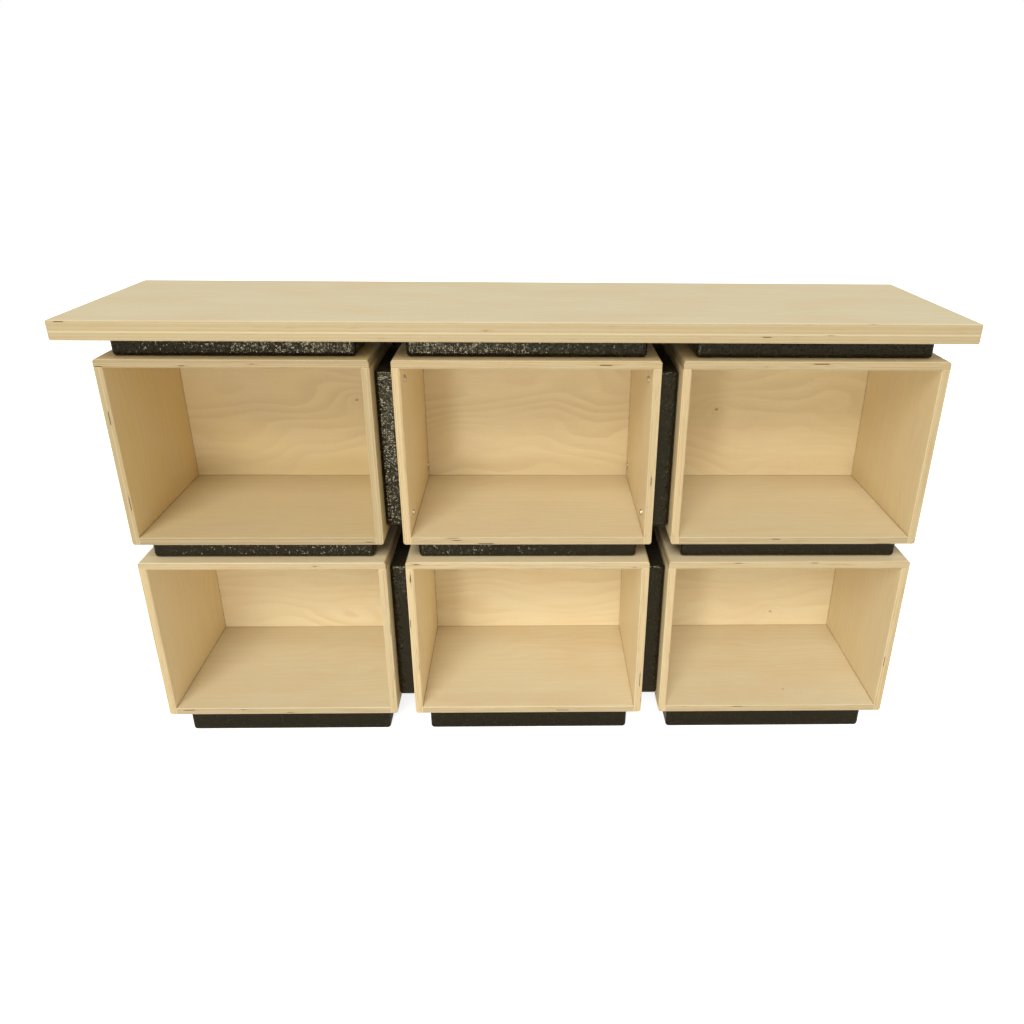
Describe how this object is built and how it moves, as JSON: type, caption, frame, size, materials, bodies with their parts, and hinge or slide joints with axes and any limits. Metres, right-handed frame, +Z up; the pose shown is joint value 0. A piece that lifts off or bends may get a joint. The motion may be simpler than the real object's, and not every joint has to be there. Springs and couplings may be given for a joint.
{
  "type": "cube storage unit",
  "caption": "Low free-standing storage unit: open-fronted plywood boxes in two rows, spaced apart by black blocks, on block feet under a long overhanging top board.",
  "frame": {"origin": "on the floor, under the middle of the top board", "axes": "+Z up, +X along the unit to the right of someone facing the open fronts, +Y from the open fronts to the back"},
  "size_m": [1.26, 0.358, 0.701],
  "materials": {
    "birch_plywood": "clear satin lacquer on birch plywood, plies showing on the edges",
    "black_textured_coating": "black pebbled spray coating on solid blocks, semi-gloss",
    "zinc_plated_steel": "bright zinc plate"
  },
  "bodies": {
    "root": {"lower_left_box_top": "birch_plywood", "lower_left_box_bottom": "birch_plywood", "lower_left_box_left_side": "birch_plywood", "lower_left_box_right_side": "birch_plywood", "lower_left_box_back": "birch_plywood", "lower_centre_box_top": "birch_plywood", "lower_centre_box_bottom": "birch_plywood", "lower_centre_box_left_side": "birch_plywood", "lower_centre_box_right_side": "birch_plywood", "lower_centre_box_back": "birch_plywood", "lower_right_box_top": "birch_plywood", "lower_right_box_bottom": "birch_plywood", "lower_right_box_left_side": "birch_plywood", "lower_right_box_right_side": "birch_plywood", "lower_right_box_back": "birch_plywood", "upper_left_box_top": "birch_plywood", "upper_left_box_bottom": "birch_plywood", "upper_left_box_left_side": "birch_plywood", "upper_left_box_right_side": "birch_plywood", "upper_left_box_back": "birch_plywood", "upper_centre_box_top": "birch_plywood", "upper_centre_box_bottom": "birch_plywood", "upper_centre_box_left_side": "birch_plywood", "upper_centre_box_right_side": "birch_plywood", "upper_centre_box_back": "birch_plywood", "upper_right_box_top": "birch_plywood", "upper_right_box_bottom": "birch_plywood", "upper_right_box_left_side": "birch_plywood", "upper_right_box_right_side": "birch_plywood", "upper_right_box_back": "birch_plywood", "board_lower_layer": "birch_plywood", "board_upper_layer": "birch_plywood", "foot_left": "black_textured_coating", "middle_spacer_left": "black_textured_coating", "top_spacer_left": "black_textured_coating", "foot_centre": "black_textured_coating", "middle_spacer_centre": "black_textured_coating", "top_spacer_centre": "black_textured_coating", "foot_right": "black_textured_coating", "middle_spacer_right": "black_textured_coating", "top_spacer_right": "black_textured_coating", "side_spacer_lower_left": "black_textured_coating", "side_spacer_lower_right": "black_textured_coating", "side_spacer_upper_left": "black_textured_coating", "side_spacer_upper_right": "black_textured_coating", "foot_left_screws": "zinc_plated_steel", "middle_spacer_left_screws": "zinc_plated_steel", "top_spacer_left_screws": "zinc_plated_steel", "foot_centre_screws": "zinc_plated_steel", "middle_spacer_centre_screws": "zinc_plated_steel", "top_spacer_centre_screws": "zinc_plated_steel", "foot_right_screws": "zinc_plated_steel", "middle_spacer_right_screws": "zinc_plated_steel", "top_spacer_right_screws": "zinc_plated_steel", "side_spacer_lower_left_screws": "zinc_plated_steel", "side_spacer_lower_right_screws": "zinc_plated_steel", "side_spacer_upper_left_screws": "zinc_plated_steel", "side_spacer_upper_right_screws": "zinc_plated_steel"}
  },
  "joints": []
}
